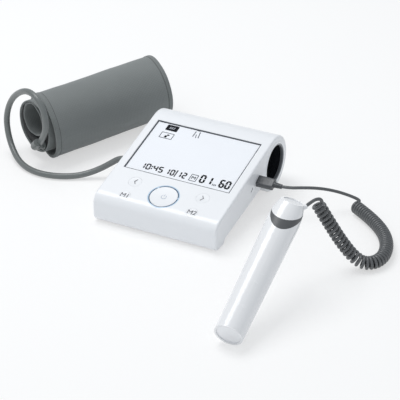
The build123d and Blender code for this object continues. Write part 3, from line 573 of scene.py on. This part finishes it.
def cloth_tube(name, material, centre, radius, thickness, span, slants=((0, 0), (0, 0)),
               fold=0.3, seed=0.0, rings=56):
    """Rolled cloth on the cuff's line: a tube whose ends slant and whose wall has soft folds."""
    bm = bmesh.new()
    bmesh.ops.create_cone(bm, cap_ends=False, segments=112, radius1=1, radius2=1, depth=1)
    long_edges = [e for e in bm.edges if abs(e.verts[0].co.z - e.verts[1].co.z) > 0.5]
    bmesh.ops.subdivide_edges(bm, edges=long_edges, cuts=rings, use_grid_fill=True)
    lay_weave(bm, radius, span[1] - span[0])
    for vertex in bm.verts:
        direction = Vector((vertex.co.x, vertex.co.y))
        part = vertex.co.z + 0.5
        ends = [span[i] + (slants[i][0] * direction.x + slants[i][1] * direction.y) for i in (0, 1)]
        s = ends[0] + (ends[1] - ends[0]) * part
        reach = radius - thickness / 2 - fold + soft_fold(direction, s, seed) * fold * 0.8
        vertex.co = Vector((centre[0] + direction.x * reach, centre[1] + direction.y * reach, s)) * MM
    mesh = mesh_of(bm, name)
    mesh.transform(cuff_matrix())
    piece = riding(name, mesh, material)
    wall = piece.modifiers.new("cloth", "SOLIDIFY")
    wall.thickness = thickness * MM
    wall.offset = 0
    edge = piece.modifiers.new("soft edges", "BEVEL")
    edge.width = thickness * 0.32 * MM
    edge.segments = 2
    edge.limit_method = "ANGLE"
    return piece


class MONITOR_OT_stage(bpy.types.Operator):
    """Pale floor, soft lamps and the camera"""

    bl_idname = "monitor.stage"
    bl_label = "Stage"

    def execute(self, context):
        settings = context.scene.monitor_stage
        self.make_floor(settings)
        self.light_room(context)
        self.hang_lamps(context, settings)
        self.place_camera(context)
        context.scene.view_settings.view_transform = "Standard"
        return {"FINISHED"}

    def make_floor(self, settings):
        """Pale floor that keeps the shadows, and is half white where it is seen or mirrored."""
        finish = Finish("pale floor")
        diffuse = finish.node("ShaderNodeBsdfDiffuse", {}, {"Color": (*settings.floor, 1)})
        glow = finish.node("ShaderNodeEmission", {}, {"Color": (1, 1, 1, 1), "Strength": 1.0})
        path = finish.tree.nodes.new("ShaderNodeLightPath")
        kinds = ("Camera", "Glossy", "Transmission")
        rays = [Value(finish, path.outputs[f"Is {kind} Ray"]) for kind in kinds]
        seen = (rays[0] + rays[1] + rays[2]) * 0.55
        blend = finish.node("ShaderNodeMixShader", {}, {0: seen, 1: diffuse, 2: glow})
        finish.feed(finish.tree.nodes["Material Output"].inputs["Surface"], blend)
        bm = bmesh.new()
        bmesh.ops.create_grid(bm, x_segments=1, y_segments=1, size=6.0)
        bmesh.ops.translate(bm, verts=bm.verts, vec=(0, 0, -0.0002))
        floor = new_piece("floor", mesh_of(bm, "floor"), finish.material, smooth=False)

    def light_room(self, context):
        """Soft light from all round, with plain white where the room itself is seen."""
        world = bpy.data.worlds.new("soft room")
        world.use_nodes = True
        context.scene.world = world
        tree = world.node_tree
        ground = tree.nodes["Background"]
        ground.inputs["Color"].default_value = (0.90, 0.95, 1.0, 1)
        ground.inputs["Strength"].default_value = 0.55
        white = tree.nodes.new("ShaderNodeBackground")
        white.inputs["Strength"].default_value = 1.0
        path = tree.nodes.new("ShaderNodeLightPath")
        choose = tree.nodes.new("ShaderNodeMixShader")
        seen = tree.nodes.new("ShaderNodeMath")
        seen.operation = "ADD"
        tree.links.new(path.outputs["Is Camera Ray"], seen.inputs[0])
        tree.links.new(path.outputs["Is Transmission Ray"], seen.inputs[1])
        tree.links.new(seen.outputs[0], choose.inputs[0])
        tree.links.new(ground.outputs[0], choose.inputs[1])
        tree.links.new(white.outputs[0], choose.inputs[2])
        tree.links.new(choose.outputs[0], tree.nodes["World Output"].inputs["Surface"])

    def hang_lamps(self, context, settings):
        """Two large soft lamps, aimed at the object."""
        for name, power, size, spot, aim in (
            ("main lamp", settings.key_power, 0.9, (-0.5, 0.12, 1.45), (0, 0.05, 0)),
            ("fill lamp", settings.fill_power, 1.4, (0.2, -1.6, 1.0), (0, 0, 0.02)),
        ):
            light = bpy.data.lights.new(name, "AREA")
            light.energy = power
            light.size = size
            lamp = bpy.data.objects.new(name, light)
            lamp.location = spot
            lamp.rotation_euler = (Vector(aim) - Vector(spot)).to_track_quat("-Z", "Y").to_euler()
            context.collection.objects.link(lamp)

    def place_camera(self, context):
        """Camera on a sphere round its target."""
        camera = bpy.data.cameras.new("camera")
        camera.lens = CAMERA_LENS
        camera.sensor_width = 36
        camera.clip_start = 0.05
        holder = bpy.data.objects.new("camera", camera)
        level = math.cos(CAMERA_HEIGHT)
        way = Vector((math.sin(CAMERA_AZIMUTH) * level, -math.cos(CAMERA_AZIMUTH) * level,
                      math.sin(CAMERA_HEIGHT)))
        holder.location = Vector(CAMERA_TARGET) + way * CAMERA_DISTANCE
        holder.rotation_euler = (-way).to_track_quat("-Z", "Y").to_euler()
        context.collection.objects.link(holder)
        context.scene.camera = holder


class MONITOR_OT_console(bpy.types.Operator):
    """Finishes of the console's case, keys, display and sockets"""

    bl_idname = "monitor.console"
    bl_label = "Console"

    def execute(self, context):
        settings = context.scene.monitor_console
        white = moulding("glossy white", settings.white, 0.34, coat=0.22, depth=0.00001, mottle=0.02)
        finish_nodes(white, "upper_housing", "lower_housing", "battery_cover", "start_button",
                     "previous_key", "next_key", "memory_key_1", "memory_key_2")
        finish_nodes(lit_ring("light ring", settings.ring), "start_light_ring")
        finish_nodes(moulding("display border", (0.075, 0.085, 0.10), 0.5), "display_frame")
        finish_nodes(glowing_ground("display ground", settings.lcd), "lcd_glass", "backlight_panel")
        finish_nodes(clear_window("clear window"), "display_window")
        finish_nodes(rimmed("mouth ring", (0.26, 0.275, 0.29), settings.white), "tube_mouth_ring")
        finish_nodes(moulding("dark store", (0.018, 0.020, 0.024), 0.16, coat=0.6), "stick_tube")
        finish_nodes(moulding("black socket", (0.02, 0.02, 0.022), 0.5), "usb_socket", "side_slot_insert")
        rubber = moulding("foot rubber", (0.045, 0.045, 0.047), 0.85, depth=0.00005)
        finish_nodes(rubber, "front_foot", "rear_foot")
        finish_nodes(moulding("socket grey", (0.20, 0.215, 0.22), 0.5), "air_socket", "air_plug")
        self.mouth_sleeve()
        self.display_face(glowing_ground("display face", settings.lcd))
        return {"FINISHED"}

    def mouth_sleeve(self):
        """Thin grey sleeve just inside the store's mouth."""
        middle, front = mouth_middle()
        outer = STORE_RADIUS - SLEEVE_GAP
        inner = outer - SLEEVE_WALL
        bm = bmesh.new()
        section = [bm.verts.new(middle + Vector((front - depth * MM, 0, radius * MM))) for depth, radius in
                   ((SLEEVE_BACK, inner), (SLEEVE_FRONT, inner), (SLEEVE_FRONT, outer), (SLEEVE_BACK, outer))]
        edges = [bm.edges.new((a, b)) for a, b in zip(section, section[1:] + section[:1])]
        bmesh.ops.spin(bm, geom=section + edges, cent=middle, axis=(1, 0, 0), dvec=(0, 0, 0),
                       angle=math.tau, steps=128, use_merge=True)
        bmesh.ops.remove_doubles(bm, verts=bm.verts, dist=1e-7)
        sleeve = riding("store_mouth_sleeve", mesh_of(bm, "store_mouth_sleeve"),
                        moulding("sleeve grey", (0.17, 0.18, 0.195), 0.25, coat=0.4))
        sleeve.data.set_sharp_from_angle(angle=math.radians(40))

    def display_face(self, material):
        """Printed ground on the window's underside, a little smaller than the window."""
        bm = bmesh.new()
        bm.from_mesh(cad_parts["display_window"].data)
        bmesh.ops.remove_doubles(bm, verts=bm.verts, dist=1e-6)
        away = Vector((0, -DISPLAY_MIDDLE, WINDOW_MIDDLE_DEPTH)) * MM
        back = Vector((0, DISPLAY_MIDDLE, -FACE_DEPTH)) * MM
        smaller = Matrix.Diagonal((0.997, 0.996, 0.05, 1))
        squeeze = Matrix.Translation(back) @ smaller @ Matrix.Translation(away)
        onto = panel_matrix(0, 0, 0)
        bmesh.ops.transform(bm, matrix=onto @ squeeze @ onto.inverted(), verts=bm.verts)
        mesh = bpy.data.meshes.new("display_face")
        bm.to_mesh(mesh)
        bm.free()
        riding("display_face", mesh, material, smooth=False)


class MONITOR_OT_inner_parts(bpy.types.Operator):
    """Finishes of the parts inside the console and the stick"""

    bl_idname = "monitor.inner_parts"
    bl_label = "Inner Parts"

    def execute(self, context):
        mask = moulding("solder mask", (0.015, 0.09, 0.035), 0.4, coat=0.3)
        finish_nodes(mask, "main_board", "stick_board")
        steel = moulding("plated steel", (0.55, 0.55, 0.56), 0.3, metal=1.0)
        finish_nodes(steel, "board_screws", "housing_screws", "pump_motor", "battery_contacts")
        black = moulding("black moulding", (0.02, 0.02, 0.022), 0.45)
        finish_nodes(black, "key_switches", "pump_head", "pressure_sensor", "buzzer")
        finish_nodes(moulding("valve grey", (0.20, 0.20, 0.21), 0.45), "air_manifold", "exhaust_valve")
        finish_nodes(moulding("soft tubing", (0.55, 0.55, 0.52), 0.35, coat=0.3), "air_tubes")
        finish_nodes(moulding("cell jacket", (0.03, 0.032, 0.036), 0.3, coat=0.4), "batteries")
        return {"FINISHED"}


class MONITOR_OT_display_marks(bpy.types.Operator):
    """Figures and signs that the display shows"""

    bl_idname = "monitor.display_marks"
    bl_label = "Display Marks"

    def execute(self, context):
        ink = moulding("display ink", (0.010, 0.011, 0.014), 0.6, shine=0.08)
        bm = bmesh.new()
        for text, u, s, height, width, pitch, stroke in (
            ("10:45", -42.6, 56.4, 6.9, 5.0, 5.9, 1.5),
            ("10", -15.7, 56.4, 7.0, 4.5, 5.5, 1.5),
            ("12", -2.9, 56.4, 7.0, 4.5, 5.5, 1.5),
            ("01", 20.9, 58.0, 9.5, 5.8, 7.1, 1.95),
            ("60", 41.4, 58.0, 9.5, 5.6, 6.1, 1.95),
        ):
            add_digits(bm, text, u, s, height, width, pitch, stroke)
        add_bar(bm, (-4.2, 56.4), (1.2, 9.6))
        add_plate(bm, (-37.9, 115.8), (12.8, 8.4), 0.8)
        add_bar(bm, (-38.9, 102.4), (2.6, 3.2), 0.1)
        add_bar(bm, (-37.1, 104.9), (2.4, 1.7))
        printed(bm, "display_marks", panel_matrix(0, 0, -MARK_DEPTH), ink)

        grey = moulding("display grey ink", (0.12, 0.13, 0.15), 0.6, shine=0.08)
        bm = bmesh.new()
        add_border(bm, (-38.4, 103.8), (14.1, 8.8), 0.8)
        add_border(bm, (14.65, 56.5), (7.8, 9.5), 0.8)
        for side in (-1, 1):
            add_bar(bm, (14.65 + side * 1.7, 56.5), (0.95, 3.6))
            add_bar(bm, (14.65 + side * 0.65, 57.2), (0.9, 2.4), side * 0.5)
        for column in range(3):
            add_bar(bm, (36.0 + column * 1.5, 53.9), (0.95, 2.3))
        add_bar(bm, (-10.8, 120.9), (3.6, 1.0))
        add_bar(bm, (-13.2, 115.2), (0.95, 8.4), 0.02)
        add_bar(bm, (-7.85, 115.0), (0.95, 8.8), -0.17)
        add_bar(bm, (-10.35, 112.6), (0.9, 4.8), -0.27)
        printed(bm, "display_grey_marks", panel_matrix(0, 0, -MARK_DEPTH), grey)

        pale = moulding("display pale ink", (0.42, 0.44, 0.48), 0.5)
        bm = bmesh.new()
        for column in range(3):
            add_bar(bm, (-40.2 + column * 2.2, 115.8), (1.1, 3.0), 0.2)
        add_bar(bm, (-38.0, 114.8), (5.4, 0.8))
        printed(bm, "display_pale_marks", panel_matrix(0, 0, -MARK_DEPTH + LABEL_LIFT), pale)
        return {"FINISHED"}


class MONITOR_OT_key_labels(bpy.types.Operator):
    """Labels printed on the keys, and the sign on the start button"""

    bl_idname = "monitor.key_labels"
    bl_label = "Key Labels"

    def execute(self, context):
        settings = context.scene.monitor_console
        ink = moulding("label ink", (0.13, 0.13, 0.15), 0.5)
        size = settings.label_size
        panel_text("label_memory_1", "M1", -36.2, 11.1, size, LABEL_LIFT, ink, "memory_key_1")
        panel_text("label_memory_2", "M2", 35.0, 11.2, size, LABEL_LIFT, ink, "memory_key_2")
        for name, u, s, way, body in (
            ("label_previous", -35.4, 32.0, -1, "previous_key"),
            ("label_next", 35.9, 32.4, 1, "next_key"),
        ):
            bm = bmesh.new()
            for side in (-1, 1):
                add_bar(bm, (0, side * 1.5), (0.85, 3.5), -side * way * 0.62)
            printed(bm, name, panel_matrix(u, s, LABEL_LIFT), ink, body)

        faint = moulding("faint ink", (0.45, 0.52, 0.62), 0.4)
        bm = bmesh.new()
        arc = [(math.cos(a) * 2.5, math.sin(a) * 2.5) for a in
               (math.radians(125 + 290 * k / 24) for k in range(25))]
        for a, b in zip(arc, arc[1:]):
            middle = ((a[0] + b[0]) / 2, (a[1] + b[1]) / 2)
            turn = math.atan2(b[1] - a[1], b[0] - a[0]) - math.pi / 2
            add_bar(bm, middle, (0.55, 0.75), 0.0, turn)
        add_bar(bm, (0, 2.1), (0.55, 2.6))
        printed(bm, "label_start", panel_matrix(0, START_S, -START_LABEL_DEPTH), faint, "start_button")
        return {"FINISHED"}


class MONITOR_OT_stick(bpy.types.Operator):
    """Finishes of the hand-held sensor stick"""

    bl_idname = "monitor.stick"
    bl_label = "Sensor Stick"

    def execute(self, context):
        white = moulding("stick white", (0.87, 0.87, 0.88), 0.26, coat=0.5, depth=0.00001, mottle=0.02)
        finish_nodes(white, "stick_shell", "stick_cap", "stick_end_ring", "lead_gland")
        finish_nodes(moulding("stick grip", (0.10, 0.103, 0.108), 0.42), "stick_grip_inlay")
        steel = moulding("electrode steel", (0.84, 0.85, 0.87), 0.30, metal=0.55, grain=400.0)
        finish_nodes(steel, "upper_electrode", "lower_electrode")
        return {"FINISHED"}


class MONITOR_OT_lead(bpy.types.Operator):
    """Curly lead from the console's plug to the stick"""

    bl_idname = "monitor.lead"
    bl_label = "Curly Lead"

    def execute(self, context):
        settings = context.scene.monitor_lead
        dark = moulding("lead sheath", (0.105, 0.109, 0.113), 0.36, coat=0.2, grain=1500.0)
        straight = in_place(LEAD_ROUTE)
        tail = in_place(TAIL_ROUTE)
        line = smooth_line(in_place(COIL_ROUTE), "coil_line")

        def pitch_at(distance):
            """Pitch of the turns, closer from where the coil lies on the table."""
            part = min(1.0, max(0.0, (distance - COIL_HANGS) / COIL_CLOSES))
            return settings.loose_pitch + (settings.close_pitch - settings.loose_pitch) * part

        turns = wound(line, settings.coil_radius, pitch_at, tail[-1], straight[-1])
        points = straight + turns[::-1] + tail[::-1]
        lead = bpy.data.objects.new("curly_lead", route_curve(points, "curly_lead", settings.wire))
        context.collection.objects.link(lead)
        lead.data.materials.append(dark)
        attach(lead, BODY)
        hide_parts("lead_straight", "lead_coil", "lead_tail")
        line_length(points)
        soft = moulding("plug moulding", (0.075, 0.078, 0.084), 0.38, coat=0.1)
        finish_nodes(soft, "usb_plug_body", "plug_strain_relief")
        finish_nodes(moulding("plug steel", (0.6, 0.6, 0.61), 0.28, metal=1.0), "usb_plug_shell")
        return {"FINISHED"}


class MONITOR_OT_air_hose(bpy.types.Operator):
    """Air hose from the console to the cuff"""

    bl_idname = "monitor.air_hose"
    bl_label = "Air Hose"

    def execute(self, context):
        settings = context.scene.monitor_lead
        grey = moulding("hose rubber", (0.155, 0.168, 0.165), 0.36, coat=0.2, grain=700.0)
        points = in_place(HOSE_ROUTE)
        hose = bpy.data.objects.new("grey_air_hose", route_curve(points, "grey_air_hose", settings.hose))
        context.collection.objects.link(hose)
        hose.data.materials.append(grey)
        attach(hose, BODY)
        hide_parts("air_hose")
        length = line_length(smooth_line(points, "hose_line"))
        finish_nodes(grey, "hose_port")
        return {"FINISHED"}


class MONITOR_OT_cuff(bpy.types.Operator):
    """Rolled cuff: sleeve, hems, inner roll, lining and air bladder"""

    bl_idname = "monitor.cuff"
    bl_label = "Cuff"

    def execute(self, context):
        settings = context.scene.monitor_cuff
        cloth = woven("cuff cloth", settings.cloth, settings.thread_pitch)
        hem = woven("cuff hem", tuple(part * 0.95 for part in settings.cloth), settings.thread_pitch)
        left, right = (6.7, -2.5), (5.9, -3.0)
        fold = settings.sag / MM
        sleeve = cloth_tube("cuff_sleeve", cloth, (0, 0), CUFF_RADIUS - 0.4, 2.2, (4.0, CUFF_LENGTH - 4.0),
                            (left, right), fold * 0.5)
        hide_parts("cuff_outer")
        for name, start, slant in (
            ("cuff_hem_left", 0.0, left),
            ("cuff_hem_right", CUFF_LENGTH - HEM_WIDTH, right),
        ):
            cloth_tube(name, hem, (0, 0), CUFF_RADIUS + 0.1, 3.0, (start, start + HEM_WIDTH),
                                   (slant, slant), fold * 0.5, rings=6)
        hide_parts("cuff_edge_binding")
        thread = woven("seam thread", tuple(part * 0.42 for part in settings.cloth), settings.thread_pitch)
        for name, start, slant in (
            ("cuff_seam_left", HEM_WIDTH, left),
            ("cuff_seam_right", CUFF_LENGTH - HEM_WIDTH - SEAM_WIDTH, right),
        ):
            cloth_tube(name, thread, (0, 0), CUFF_RADIUS - 0.2, 1.2, (start, start + SEAM_WIDTH),
                       (slant, slant), fold * 0.5, rings=1)
        roll = cloth_tube("cuff_roll", cloth, (2.2, 2.0), 28.5, 1.7, (-10.0, 138.0), fold=0.8, seed=2.0)
        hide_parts("cuff_inner_wrap")
        lining = cloth_tube("cuff_lining_cloth", hem, (4.8, 8.5), 19.3, 1.8, (-9.4, 138.0),
                            fold=1.0, seed=4.0)
        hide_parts("cuff_lining")

        bm = bmesh.new()
        bm.from_mesh(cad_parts["cuff_bladder"].data)
        bmesh.ops.remove_doubles(bm, verts=bm.verts, dist=1e-6)
        mesh = bpy.data.meshes.new("cuff_air_bladder")
        bm.to_mesh(mesh)
        bm.free()
        rubber = moulding("bladder rubber", (0.016, 0.017, 0.018), 0.6, depth=0.00006)
        bladder = riding("cuff_air_bladder", mesh, rubber)
        remesh = bladder.modifiers.new("even mesh", "REMESH")
        remesh.mode = "VOXEL"
        remesh.voxel_size = 0.0022
        soften = bladder.modifiers.new("soft corners", "SMOOTH")
        soften.factor = 0.6
        soften.iterations = 6
        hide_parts("cuff_bladder")
        return {"FINISHED"}


OPERATORS = (
    MONITOR_OT_stage, MONITOR_OT_console, MONITOR_OT_inner_parts, MONITOR_OT_display_marks,
    MONITOR_OT_key_labels, MONITOR_OT_stick, MONITOR_OT_lead, MONITOR_OT_air_hose, MONITOR_OT_cuff,
)


class MONITOR_PT_panel(bpy.types.Panel):
    """Lists the monitor's pieces"""

    bl_idname = "MONITOR_PT_panel"
    bl_label = "Monitor"
    bl_space_type = "VIEW_3D"
    bl_region_type = "UI"
    bl_category = "Monitor"

    def draw(self, context):
        for operator in OPERATORS:
            self.layout.operator(operator.bl_idname)


GROUPS = {
    "monitor_console": ConsoleSettings,
    "monitor_cuff": CuffSettings,
    "monitor_lead": LeadSettings,
    "monitor_stage": StageSettings,
}


def register():
    for name, group in GROUPS.items():
        bpy.utils.register_class(group)
        setattr(bpy.types.Scene, name, bpy.props.PointerProperty(type=group))
    for part in (*OPERATORS, MONITOR_PT_panel):
        bpy.utils.register_class(part)


def unregister():
    for part in (MONITOR_PT_panel, *reversed(OPERATORS)):
        bpy.utils.unregister_class(part)
    for name, group in reversed(GROUPS.items()):
        delattr(bpy.types.Scene, name)
        bpy.utils.unregister_class(group)


def main():
    register()
    bpy.ops.monitor.stage()
    bpy.ops.monitor.console()
    bpy.ops.monitor.inner_parts()
    bpy.ops.monitor.display_marks()
    bpy.ops.monitor.key_labels()
    bpy.ops.monitor.stick()
    bpy.ops.monitor.lead()
    bpy.ops.monitor.air_hose()
    bpy.ops.monitor.cuff()


if __name__ == "__main__":
    main()
